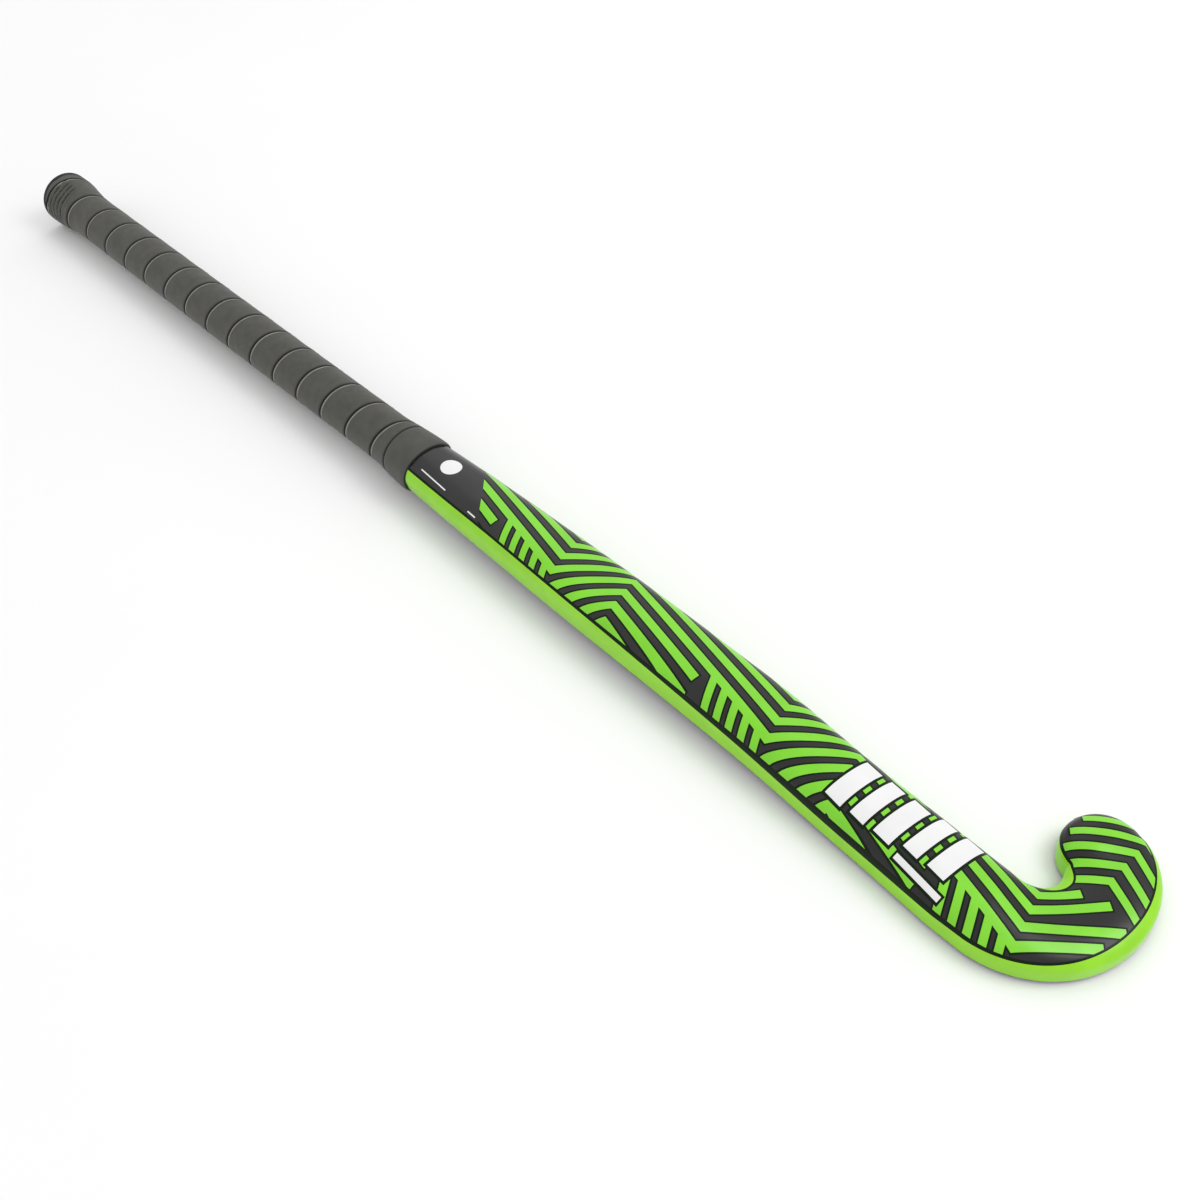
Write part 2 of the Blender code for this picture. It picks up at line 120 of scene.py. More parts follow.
# ---- how finely the skins are divided ----
CORNER_STEPS = 6
SHOULDER_STEPS = 5
BACK_STEPS = 28
HOOK_STEPS = 40
NECK_STEPS = 14
SHAFT_STEP = 0.004
TURN_STEPS = 72
RING_STEPS = 96

# ---- stripe pattern on the back, millimetres along and across the stick ----
BAR_HALVES = (5.3, 4.6, 5.3, 4.6, 5.3)
STRIPE_HALF = 2.4
OUTLINE = 0.95
BORDER = 1.1
STEP = numpy.array((-2.6, 10.6))
RISE = numpy.array((36.0, 37.0))
HEAD_RISES = [(13.5, 16.0), (24.5, 30.5), (35.0, 34.5), (29.5, 30.5)]
CHEVRON_COUNT = 5
CHEVRON_START = numpy.array((888.0, 46.5))
CHEVRON_PITCH = 11.0
CHEVRON_LEFT = numpy.array((-30.0, -22.5))
CHEVRON_RIGHT = numpy.array((28.0, -12.6))
HATCH_COUNT = 5
HATCH_FIRST = 7.0
HATCH_PITCH = 9.6
HATCH_REACH = numpy.array((11.0, -24.0))
HEAD_HALF = 2.1
CROOK_LINE = 850.0
FALL_LENGTH = 110.0
FALL_SLOPE = 0.23
CUT_BACK = 52.0
LOWEST_LONG = -1
FRONT_LINE = [(459.0, 26.0), (484.0, 1.0), (506.0, -24.0)]
VALLEYS = [numpy.array(place) for place in ((557.3, -2.5), (716.9, 6.6), (868.5, 15.0))]

# White marks: five bars on the lower shaft with a line beneath, two thin lines and a disc near the grip.
BAR_START = 768.0
BAR_PITCH = 15.2
BAR_LEAN = 3.0
BAR_LOW = -17.5
BAR_HIGH = 12.0
BAR_LIFTS = (0.0, 0.0, 0.0, 3.0, 3.0)
BAR_RIM = 1.5
RIM_LEAN = 0.15
UNDERLINE = [(809.0, -19.6), (838.0, -22.8)]
UNDERLINE_HALF = 1.4
UNDERLINE_RIM = [(807.8, -19.5), (839.2, -22.9)]
UNDERLINE_RIM_HALF = 2.6
THIN_LINES = [[(442.0, -11.6), (466.0, -13.2)], [(488.5, -15.0), (495.5, -15.4)]]
THIN_HALF = 0.35
DISC_CENTRE = (455.0, 1.0)
DISC_RADIUS = 6.6
MERGE_REACH = 0.004
FILM_DEPTH = 0.00042

# ---- folds of the grip by the cap; their deep creases get painted shade ----
FOLD_PITCH = 0.0040
FOLD_DEPTH = 0.00075
FOLD_SHADE = -0.00042

# ---- grip strip, metres ----
STRIP_GAP = 0.0001
STRIP_SHORTEST = 0.0012
STRIP_EDGE = 0.0034
STRIP_SQUEEZE = 0.0115
STRIP_POINTS = 28
FOLD_MARGIN = 0.0030
FOLD_END = 0.0300

# ---- closing band: distance back from its end and share of the tape's thickness, at its bevelled end ----
BAND_END = [(0.0030, 0.97), (0.0021, 0.84), (0.0014, 0.64), (0.0009, 0.38), (0.0005, 0.08),
            (0.0002, -0.16), (0.0, -0.38)]
BAND_LINE = 0.0004

# ---- cap: rounded edge of its spigot, and the shallow ring groove and dimple in its end disc ----
SPIGOT_ROUND = [(0.0, -0.0008), (-0.0002, -0.0003), (-0.0008, 0.0)]
CAP_RIM_STEPS = 12
CAP_DISC = [(0.0, 0.0150), (0.0003, 0.0147), (0.0005, 0.0142), (0.0003, 0.0137), (0.0, 0.0134),
            (0.0, 0.0060), (0.0002, 0.0040), (0.0003, 0.0)]

# ---- view ----
WORLD_STRENGTH = 0.87
LIGHTS = [("key", (0.62, 0.45, 0.95), 2.2, 1.0, 12.5), ("fill", (-0.7, 0.8, 1.2), 2.6, 2.0, 5.0)]
CAMERA_PLACE = (0.5424, -0.4261, 0.6189)
CAMERA_TURN = math.radians(46.21)
CAMERA_ELEVATION = math.radians(46.37)
CAMERA_ROLL = math.radians(-0.16)
CAMERA_LENS = 44.3


def smooth(knots, distance):
    """Value at a distance, on the smooth curve without overshoot through the knots."""
    places = [knot[0] for knot in knots]
    values = [knot[1] for knot in knots]
    if distance <= places[0]:
        return values[0]
    if distance >= places[-1]:
        return values[-1]
    slopes = [(values[i + 1] - values[i]) / (places[i + 1] - places[i]) for i in range(len(knots) - 1)]
    tangents = [slopes[0]]
    for before, after in zip(slopes, slopes[1:]):
        tangents.append(2 * before * after / (before + after) if before * after > 0 else 0.0)
    tangents.append(slopes[-1])
    i = max(k for k in range(len(knots) - 1) if places[k] <= distance)
    width = places[i + 1] - places[i]
    t = (distance - places[i]) / width
    return (values[i] * (1 + 2 * t) * (1 - t) ** 2 + values[i + 1] * t * t * (3 - 2 * t)
            + width * (tangents[i] * t * (1 - t) ** 2 - tangents[i + 1] * t * t * (1 - t)))


def quarter(centre_back, centre_y, reach_x, reach_y, angle):
    """Point of an ellipse in the head, given by its centre, its half axes and an angle."""
    return (STICK_LENGTH - centre_back + reach_x * math.cos(angle), centre_y + reach_y * math.sin(angle))


class Station:
    """One cross-section of the stick, between a point on its heel side and one on its toe side."""

    def __init__(self, heel, toe, rise=1.0):
        self.heel = numpy.array(heel)
        self.toe = numpy.array(toe)
        self.rise = rise
        self.distance = float(min(self.heel[0], STICK_LENGTH))
        self.heel_normal = None
        self.toe_normal = None


def shaft_station(distance):
    station = Station((distance, -smooth(EDGE_HEEL, distance)), (distance, smooth(EDGE_TOE, distance)))
    station.heel_normal = numpy.array((0.0, -1.0))
    station.toe_normal = numpy.array((0.0, 1.0))
    return station


def toe_circle(centre, angle):
    return centre + TOE_RADIUS * numpy.array((math.cos(angle), math.sin(angle)))


def head_stations():
    """Stations round the hook: heel to neck, neck to toe, and the round end of the toe."""
    stations = []
    for step in range(1, HOOK_STEPS + 1):
        angle = math.radians(-90 + 90 * step / HOOK_STEPS)
        heel = quarter(HEEL_BACK, NECK_Y, HEEL_BACK, NECK_Y + HEEL_DROP, angle)
        toe = quarter(CROOK_BACK, NECK_INNER_Y, CROOK_BACK - NECK_DEPTH, NECK_INNER_Y - CROOK_Y, angle)
        stations.append(Station(heel, toe))
    centre = numpy.array((STICK_LENGTH - TOE_BACK, TOE_Y))
    start = numpy.array((STICK_LENGTH - NECK_DEPTH, NECK_INNER_Y))
    bend = start + numpy.array((0.0, NECK_BEND_Y))
    end = toe_circle(centre, TOE_HEADING + math.pi / 2)
    for step in range(1, NECK_STEPS):
        t = step / NECK_STEPS
        heel = quarter(TOE_TOP_BACK, NECK_Y, TOE_TOP_BACK, TOE_Y + TOE_RADIUS - NECK_Y, TOE_JOIN * t)
        toe = start * (1 - t) ** 2 + bend * 2 * t * (1 - t) + end * t * t
        stations.append(Station(heel, toe))
    for degrees in range(90, 5, -4):
        half = math.radians(degrees)
        heel = toe_circle(centre, TOE_HEADING - half)
        toe = toe_circle(centre, TOE_HEADING + half)
        stations.append(Station(heel, toe, math.sin(half)))
    return stations


def all_stations():
    """Every station of the stick, from the handle end to the toe, with its outline normals."""
    distances = [FRONT + 0.012 * step for step in range(36)]
    distances = [distance for distance in distances if distance < GRIP_LENGTH - 0.004]
    distances += [GRIP_LENGTH, PAINT_START]
    count = int((HOOK_START - PAINT_START) / SHAFT_STEP)
    distances += [PAINT_START + (HOOK_START - PAINT_START) * step / count for step in range(1, count + 1)]
    distances += [HOOK_START + 0.004 * step for step in (1, 2, 3)]
    stations = [shaft_station(distance) for distance in distances] + head_stations()
    outline = [station.heel for station in stations] + [station.toe for station in stations[::-1]]
    normals = []
    for i in range(len(outline)):
        along = outline[min(i + 1, len(outline) - 1)] - outline[max(i - 1, 0)]
        along = along / numpy.linalg.norm(along)
        normals.append(numpy.array((along[1], -along[0])))
    for i, station in enumerate(stations):
        station.heel_normal = normals[i]
        station.toe_normal = normals[len(normals) - 1 - i]
    return stations


def dome_angles(station, back_steps):
    """Angles of the dome's points: up one shoulder to the paint line, over the back and down again."""
    wall = smooth(WALL_HEIGHT, station.distance)
    share = (smooth(PAINT_HEIGHT, station.distance) - wall) / (smooth(THICKNESS, station.distance) - wall)
    paint = math.asin(share ** (smooth(DOME_EXPONENT, station.distance) / 2))
    shoulder = [paint * step / SHOULDER_STEPS for step in range(SHOULDER_STEPS)]
    back = [paint + (math.pi - 2 * paint) * step / back_steps for step in range(back_steps + 1)]
    return shoulder + back + [math.pi - angle for angle in reversed(shoulder)]


def section(station, offset, corner_steps=CORNER_STEPS, back_steps=BACK_STEPS):
    """Closed D-shaped ring of a station, moved outward by offset: flat bottom, walls and dome."""
    heel = station.heel + station.heel_normal * offset
    toe = station.toe + station.toe_normal * offset
    middle = (heel + toe) / 2
    half = numpy.linalg.norm(heel - toe) / 2
    side = (heel - toe) / (2 * half)
    bottom = smooth(FACE_HEIGHT, station.distance)
    wall = smooth(WALL_HEIGHT, station.distance)
    dome = (smooth(THICKNESS, station.distance) - wall) * station.rise + offset
    exponent = 2 / smooth(DOME_EXPONENT, station.distance)
    radius = min(max(smooth(CORNER_RADIUS, station.distance) + offset, SMALLEST_CORNER), WIDEST_CORNER * half)
    drop = min(radius, wall + offset)
    outline = []
    for step in range(corner_steps + 1):
        angle = math.pi / 2 * step / corner_steps
        outline.append((half - radius + radius * math.sin(angle), drop - drop * math.cos(angle) - offset))
    for angle in dome_angles(station, back_steps):
        across = math.copysign(abs(math.cos(angle)) ** exponent, math.cos(angle))
        outline.append((half * across, wall + dome * math.sin(angle) ** exponent))
    for across, height in outline[corner_steps::-1]:
        outline.append((-across, height))
    ring = []
    for across, height in outline:
        x, y = middle + side * across
        ring.append((x, y, bottom + height))
    return ring


def polar_section(distance, offset):
    """Angles, radii and centre height of the handle's section, for lookup by direction."""
    ring = numpy.array(section(shaft_station(distance), offset, 10, 30))
    centre = smooth(FACE_HEIGHT, distance) + smooth(THICKNESS, distance) / 2
    angles = numpy.arctan2(ring[:, 2] - centre, ring[:, 1])
    order = numpy.argsort(angles)
    return angles[order], numpy.hypot(ring[:, 1], ring[:, 2] - centre)[order], centre


HANDLE_GRID = [0.001 * step for step in range(int(GRIP_LENGTH * 1000) + 6)]
HANDLE_POLAR = [polar_section(distance, 0.0) for distance in HANDLE_GRID]


def handle_point(distance, angle, offset):
    """Point of the handle's section in a direction, with angle 0 at +Y and 90 degrees at +Z."""
    place = min(max(distance / 0.001, 0.0), len(HANDLE_GRID) - 1.001)
    first = int(place)
    share = place - first
    direction = math.remainder(angle, 2 * math.pi)
    radius = 0.0
    centre = 0.0
    for index, weight in ((first, 1 - share), (first + 1, share)):
        angles, radii, height = HANDLE_POLAR[index]
        radius += weight * numpy.interp(direction, angles, radii, period=2 * math.pi)
        centre += weight * height
    radius += offset
    return (distance, radius * math.cos(angle), centre + radius * math.sin(angle))


def flare(distance):
    """Height that the collar adds under the grip, which falls from the rim to the handle."""
    height = RIM_RADIUS - HANDLE_RADIUS - TAPE_OFFSET - TAPE_THICKNESS
    t = min(max((distance - FLARE_FLAT) / (FLARE_LENGTH - FLARE_FLAT), 0.0), 1.0)
    return height * (1 - t * t * (3 - 2 * t))


def facet_sag(steps):
    return HANDLE_RADIUS * (1 - math.cos(math.pi / steps))


TAPE_OFFSET = GAP + facet_sag(20) + LINER_THICKNESS + GAP + facet_sag(16)


# ---- frame ----
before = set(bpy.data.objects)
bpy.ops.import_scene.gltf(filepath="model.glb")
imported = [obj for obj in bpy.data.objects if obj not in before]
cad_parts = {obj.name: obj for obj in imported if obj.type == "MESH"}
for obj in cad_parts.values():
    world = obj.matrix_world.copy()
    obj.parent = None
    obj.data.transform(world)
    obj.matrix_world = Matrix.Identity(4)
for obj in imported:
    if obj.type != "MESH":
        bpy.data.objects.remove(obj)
cad_low, cad_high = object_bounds()
cap_low, cap_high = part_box("butt_cap")
SHIFT = numpy.array((cad_low[0], (cap_low[1] + cap_high[1]) / 2, 0.0))


# ---- meshes ----
def add_piece(name, points, faces, materials, body="root", replaced=(), sharp_degrees=40,
              face_materials=None, normals=None):
    """Closed piece from points and faces that rides on the body and stands for its CAD nodes."""
    mesh = bpy.data.meshes.new(name)
    mesh.from_pydata([tuple(numpy.array(point) + SHIFT) for point in points], [], faces)
    builder = bmesh.new()
    builder.from_mesh(mesh)
    bmesh.ops.recalc_face_normals(builder, faces=builder.faces)
    builder.to_mesh(mesh)
    builder.free()
    for material in materials:
        mesh.materials.append(material)
    if face_materials is not None:
        mesh.polygons.foreach_set("material_index", face_materials)
    mesh.shade_smooth()
    mesh.set_sharp_from_angle(angle=math.radians(sharp_degrees))
    if normals is not None:
        mesh.normals_split_custom_set_from_vertices(normals)
    piece = bpy.data.objects.new(name, mesh)
    bpy.context.scene.collection.objects.link(piece)
    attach(piece, body)
    for node in replaced:
        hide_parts(node)
    return piece


def bridge(first, second, count):
    return [(first + k, first + (k + 1) % count, second + (k + 1) % count, second + k) for k in range(count)]


def loft(rings, close_ends=True):
    """Points and faces of the surface through closed rings, with flat ends if close_ends."""
    count = len(rings[0])
    points = [point for ring in rings for point in ring]
    faces = []
    for i in range(len(rings) - 1):
        faces += bridge(i * count, (i + 1) * count, count)
    if close_ends:
        faces.append(tuple(range(count)))
        faces.append(tuple((len(rings) - 1) * count + k for k in range(count)))
    return points, faces


def make_shell_skin(stations, material):
    outer = [section(station, 0.0) for station in stations]
    inner = [section(station, -SHELL_THICKNESS) for station in stations]
    count = len(outer[0])
    points, faces = loft(outer, close_ends=False)
    faces.append(tuple(len(points) - count + k for k in range(count)))
    start = len(points)
    inner_points, inner_faces = loft(inner, close_ends=False)
    points += inner_points
    faces += [tuple(start + k for k in face) for face in inner_faces]
    faces.append(tuple(len(points) - count + k for k in range(count)))
    faces += bridge(0, start, count)
    return add_piece("shell_skin", points, faces, [material],
                     replaced=("stick_shell",))


PAINT_INDEX = CORNER_STEPS + 1 + SHOULDER_STEPS


BARE_START = 0.56
BARE_FULL = 0.64


def bare_share(distance):
    """How tall the dark line under the green is, as a share of its full height on the lower shaft."""
    t = min(max((distance - BARE_START) / (BARE_FULL - BARE_START), 0.02), 1.0)
    return t * t * (3 - 2 * t)


def band_ring(station, toe_side):
    """Ring of the side skin at a station, from the face's corner up to the paint line."""
    sides = []
    for offset in (SKIN_INNER, SKIN_OUTER):
        ring = section(station, offset)
        if toe_side:
            ring = ring[::-1]
        line = ring[CORNER_STEPS - 2:PAINT_INDEX + 1]
        line[1] = tuple(numpy.add(line[0], numpy.subtract(line[1], line[0]) * bare_share(station.distance)))
        sides.append(line)
    return sides[0] + sides[1][::-1]


def make_side_skin(stations, material, line_material):
    rings = [band_ring(station, False) for station in stations]
    rings += [band_ring(station, True) for station in reversed(stations)]
    points, faces = loft(rings)
    count = len(rings[0])
    order = stations + stations[::-1]
    materials = []
    for i in range(len(faces)):
        low_strip = i % count >= count - 2 and i // count < len(order)
        materials.append(1 if low_strip and order[i // count].distance > BARE_START else 0)
    return add_piece("side_skin", points, faces, [material, line_material],
                     replaced=("side_band",), face_materials=materials)


# ---- stripe pattern ----
def thick_line(points, half, extra=0.0):
    """Polygon of an open line drawn with this half width, mitred at its bends, its ends extra longer."""
    points = [numpy.array(point, float) for point in points]
    sides = ([], [])
    for i, point in enumerate(points):
        before = points[i] - points[i - 1] if i else points[1] - points[0]
        after = points[i + 1] - points[i] if i < len(points) - 1 else before
        before = before / numpy.linalg.norm(before)
        after = after / numpy.linalg.norm(after)
        normal = numpy.array((-before[1] - after[1], before[0] + after[0]))
        normal = normal / numpy.linalg.norm(normal)
        reach = half / max(normal @ numpy.array((-before[1], before[0])), 0.35)
        cap = before * extra * ((i == len(points) - 1) - (i == 0))
        sides[0].append(point + normal * reach + cap)
        sides[1].append(point - normal * reach + cap)
    return sides[1] + sides[0][::-1]


def zigzag_lines():
    """Centre lines of the long stripes: gentle falls and steep climbs, each a step beside the last."""
    lines = []
    for n in range(-7, 7):
        line = [VALLEYS[0] + n * STEP - (FALL_LENGTH, -FALL_LENGTH * FALL_SLOPE)]
        for j, base in enumerate(VALLEYS[:-1]):
            valley = base + n * STEP
            line = cut_fall(lines, line, valley, n, j)
            line += [valley, valley + RISE]
        valley = VALLEYS[-1] + n * STEP
        if n > 0:
            share = (CROOK_LINE - line[-1][0]) / (valley[0] - line[-1][0])
            line.append(line[-1] + (valley - line[-1]) * share)
        else:
            line = cut_fall(lines, line, valley, n, len(VALLEYS) - 1)
            if -n < len(HEAD_RISES):
                line += [valley, valley + HEAD_RISES[-n]]
        if len(line) > 1:
            lines.append(line)
    return lines


def cut_fall(lines, line, valley, n, j):
    """End a low stripe before the hatching of its valley. Returns the line that goes on from there."""
    if n >= LOWEST_LONG - j or not line:
        return line
    before = line[-1]
    cut = VALLEYS[j][0] + (LOWEST_LONG - j) * STEP[0] - CUT_BACK
    share = (cut - before[0]) / (valley[0] - before[0])
    if share > 0.05:
        lines.append(line + [before + (valley - before) * share])
    return []


def hatch_lines():
    """Evenly spaced slanted bars between the lowest long stripe of each valley and the near edge."""
    lines = []
    for j, base in enumerate(VALLEYS):
        foot = base + (LOWEST_LONG - j) * STEP
        for k in range(HATCH_COUNT):
            back = HATCH_FIRST + HATCH_PITCH * k
            top = foot + (-back, back * FALL_SLOPE)
            lines.append([top, top + HATCH_REACH])
    return lines


def hook_chevrons():
    """A stack of equal chevrons at an even pitch, from the neck to the top of the toe."""
    apexes = [CHEVRON_START + numpy.array((0.0, CHEVRON_PITCH * k)) for k in range(CHEVRON_COUNT)]
    return [[apex + CHEVRON_LEFT, apex, apex + CHEVRON_RIGHT] for apex in apexes]


def fine_polygon(polygon, longest=2.0):
    """The same polygon with points close together, so that it follows the curved back."""
    points = []
    for place, after in zip(polygon, polygon[1:] + polygon[:1]):
        count = max(int(numpy.linalg.norm(numpy.subtract(after, place)) / longest), 1)
        points += [numpy.add(place, numpy.subtract(after, place) * step / count) for step in range(count)]
    return points


def circle_line(centre, radius):
    """Polygon of a circle."""
    return [numpy.array((centre[0] + radius * math.cos(math.pi * k / 24),
                         centre[1] + radius * math.sin(math.pi * k / 24))) for k in range(48)]


def bar_line(k, lean=0.0, rim=0.0):
    """Centre line of one white bar, moved and lengthened by the width of its dark surround."""
    x = BAR_START + BAR_PITCH * k
    lift = BAR_LIFTS[k]
    return [(x - lean, BAR_LOW - rim + lift), (x + BAR_LEAN + lean, BAR_HIGH + rim + lift)]


def rim_polygons():
    """Dark surround of the white bars: the same lines drawn wider."""
    rims = [thick_line(bar_line(k, RIM_LEAN, BAR_RIM), half + BAR_RIM) for k, half in enumerate(BAR_HALVES)]
    rims.append(thick_line(UNDERLINE_RIM, UNDERLINE_RIM_HALF))
    return rims


def pattern():
    """Lime, outline and white polygons of the back, in millimetres."""
    lime = []
    outline = []
    for line in zigzag_lines():
        lime.append(thick_line(line, STRIPE_HALF))
        outline.append(thick_line(line, STRIPE_HALF + OUTLINE, OUTLINE))
    for line in hatch_lines() + hook_chevrons():
        lime.append(thick_line(line, HEAD_HALF))
        outline.append(thick_line(line, HEAD_HALF + OUTLINE, OUTLINE))
    white = [thick_line(bar_line(k), half) for k, half in enumerate(BAR_HALVES)]
    white.append(thick_line(UNDERLINE, UNDERLINE_HALF))
    white += [thick_line(line, THIN_HALF) for line in THIN_LINES]
    white.append(circle_line(DISC_CENTRE, DISC_RADIUS))
    return lime, outline, white, rim_polygons()


# Kinds of polygon that the sheet is cut by, in the order that make_back_skin lists them.
BORDER_EDGE, INNER_EDGE, LIME, OUTLINE_LINE, WHITE, RIM, FRONT_AREA = range(7)


def face_colour(present):
    """Material index of a face of the sheet, from the kinds of polygon it lies in."""
    if WHITE in present:
        return 3
    if RIM in present or INNER_EDGE not in present:
        return 2
    if FRONT_AREA not in present:
        return 0
    if LIME in present:
        return 1
    return 2 if OUTLINE_LINE in present else 0


def back_grid(stations):
    """Grid of points over the shoulders and the back, and the outward normal at each."""
    rings = [section(station, SKIN_OUTER) for station in stations]
    columns = range(CORNER_STEPS + 1, len(rings[0]) - CORNER_STEPS - 1)
    grid = numpy.array([[ring[k] for k in columns] for ring in rings])
    along = numpy.gradient(grid, axis=0)
    across = numpy.gradient(grid, axis=1)
    normals = numpy.cross(across, along)
    normals /= numpy.linalg.norm(normals, axis=2, keepdims=True)
    normals[normals[..., 2] < 0] *= -1
    return grid, normals


def sheet_border(grid):
    """Plan outline of the printed sheet, and the same line moved inwards, in millimetres."""
    rows, width = grid.shape[:2]
    first = SHOULDER_STEPS
    last = width - 1 - SHOULDER_STEPS
    border = [grid[i, first, :2] * 1000 for i in range(rows)]
    border += [grid[rows - 1, k, :2] * 1000 for k in range(first + 1, last)]
    border += [grid[i, last, :2] * 1000 for i in range(rows - 1, -1, -1)]
    inner = []
    for i, place in enumerate(border):
        step = border[min(i + 1, len(border) - 1)] - border[max(i - 1, 0)]
        step = step / numpy.linalg.norm(step)
        inner.append(place + BORDER * numpy.array((-step[1], step[0])))
    return border, inner


def cut_sheet(grid):
    """Flat sheet cut along every edge of the pattern: its places, its triangles and their colours."""
    rows, width = grid.shape[:2]
    border, inner = sheet_border(grid)
    front = FRONT_LINE + [(940.0, -60.0), (940.0, 110.0), (FRONT_LINE[0][0], 110.0)]
    groups = [[border], [inner]] + list(pattern()) + [[front]]
    places = []
    polygons = []
    kinds = []
    for kind, group in enumerate(groups):
        for polygon in group:
            start = len(places)
            fine = polygon if kind <= INNER_EDGE else fine_polygon(polygon)
            places += [mathutils.Vector((float(p[0]), float(p[1]))) for p in fine]
            polygons.append(list(range(start, len(places))))
            kinds.append(kind)
    for i in range(rows):
        for k in range(SHOULDER_STEPS + 2, width - 2 - SHOULDER_STEPS, 2):
            if (i + k // 2) % 2:
                continue
            places.append(mathutils.Vector((float(grid[i, k, 0]) * 1000, float(grid[i, k, 1]) * 1000)))
    found = mathutils.geometry.delaunay_2d_cdt(places, [], polygons, 0, MERGE_REACH, True)
    flat, _, triangles, _, _, sources = found
    kept = []
    colours = []
    for triangle, source in zip(triangles, sources):
        present = {kinds[index] for index in source}
        if BORDER_EDGE in present:
            kept.append(list(triangle))
            colours.append(face_colour(present))
    return flat, kept, colours


def lift_places(places, grid, normals):
    """Points of the back above flat places given in millimetres, with the back's normal at each."""
    rows, width = grid.shape[:2]
    corners = grid.reshape(-1, 3)
    corner_normals = normals.reshape(-1, 3)
    quads = [(i * width + k, i * width + k + 1, (i + 1) * width + k + 1, (i + 1) * width + k)
             for i in range(rows - 1) for k in range(width - 1)]
    tree = BVHTree.FromPolygons([tuple(corner) for corner in corners], quads)
    points = []
    vertex_normals = []
    for place in places:
        x, y = place[0] / 1000, place[1] / 1000
        hit, _, face, _ = tree.ray_cast(mathutils.Vector((x, y, 0.2)), mathutils.Vector((0, 0, -1)))
        if hit is None:
            hit, _, face, _ = tree.find_nearest(mathutils.Vector((x, y, 0.012)))
        quad = quads[face]
        weights = poly_3d_calc([mathutils.Vector(corners[k]) for k in quad], hit)
        normal = sum(corner_normals[k] * weight for k, weight in zip(quad, weights))
        points.append((x, y, hit[2]))
        vertex_normals.append(normal / numpy.linalg.norm(normal))
    return points, vertex_normals


def make_back_skin(stations, materials):
    """Printed back: one closed sheet, cut along the pattern's edges so that each colour is its own faces."""
    grid, normals = back_grid(stations)
    flat, kept, colours = cut_sheet(grid)
    used = sorted({index for triangle in kept for index in triangle})
    renumber = {index: k for k, index in enumerate(used)}
    points, vertex_normals = lift_places([flat[index] for index in used], grid, normals)
    count = len(points)
    faces = [tuple(renumber[index] for index in triangle) for triangle in kept]
    sides = [(a, b) for face in faces for a, b in zip(face, face[1:] + face[:1])]
    both = set(sides)
    rim = [(a, b) for a, b in sides if (b, a) not in both]
    points += [(x, y, z - FILM_DEPTH) for x, y, z in points]
    vertex_normals += [-normal for normal in vertex_normals]
    face_materials = colours + colours + [0] * len(rim)
    faces += [tuple(count + index for index in face[::-1]) for face in faces]
    faces += [(b, a, count + a, count + b) for a, b in rim]
    return add_piece("back_skin", points, faces, materials, replaced=("back_graphic",),
                     face_materials=face_materials, normals=vertex_normals)


# ---- grip ----
def ripple(distance, angle):
    """Soft unevenness of the wound tape, a few hundredths of a millimetre."""
    place = mathutils.Vector((distance * 120, math.cos(angle) * 1.6, math.sin(angle) * 1.6))
    return 0.00010 * mathutils.noise.noise(place)


def butt_folds(distance, angle, end):
    """Stacked folds of the first turns, which lie on each other by the rim."""
    fade = min(max((end - distance) / 0.0040, 0.0), 1.0)
    wander = 0.0008 * math.sin(angle * 2 + 0.6) + 0.0004 * math.sin(angle * 5)
    wave = abs(math.sin(math.pi * (distance + wander - FRONT) / FOLD_PITCH))
    around = (math.cos(angle) * 2.5, math.sin(angle) * 2.5)
    crease = 0.00012 * mathutils.noise.noise(mathutils.Vector((distance * 500, *around)))
    return fade * (-FOLD_DEPTH * (1 - wave) + crease)


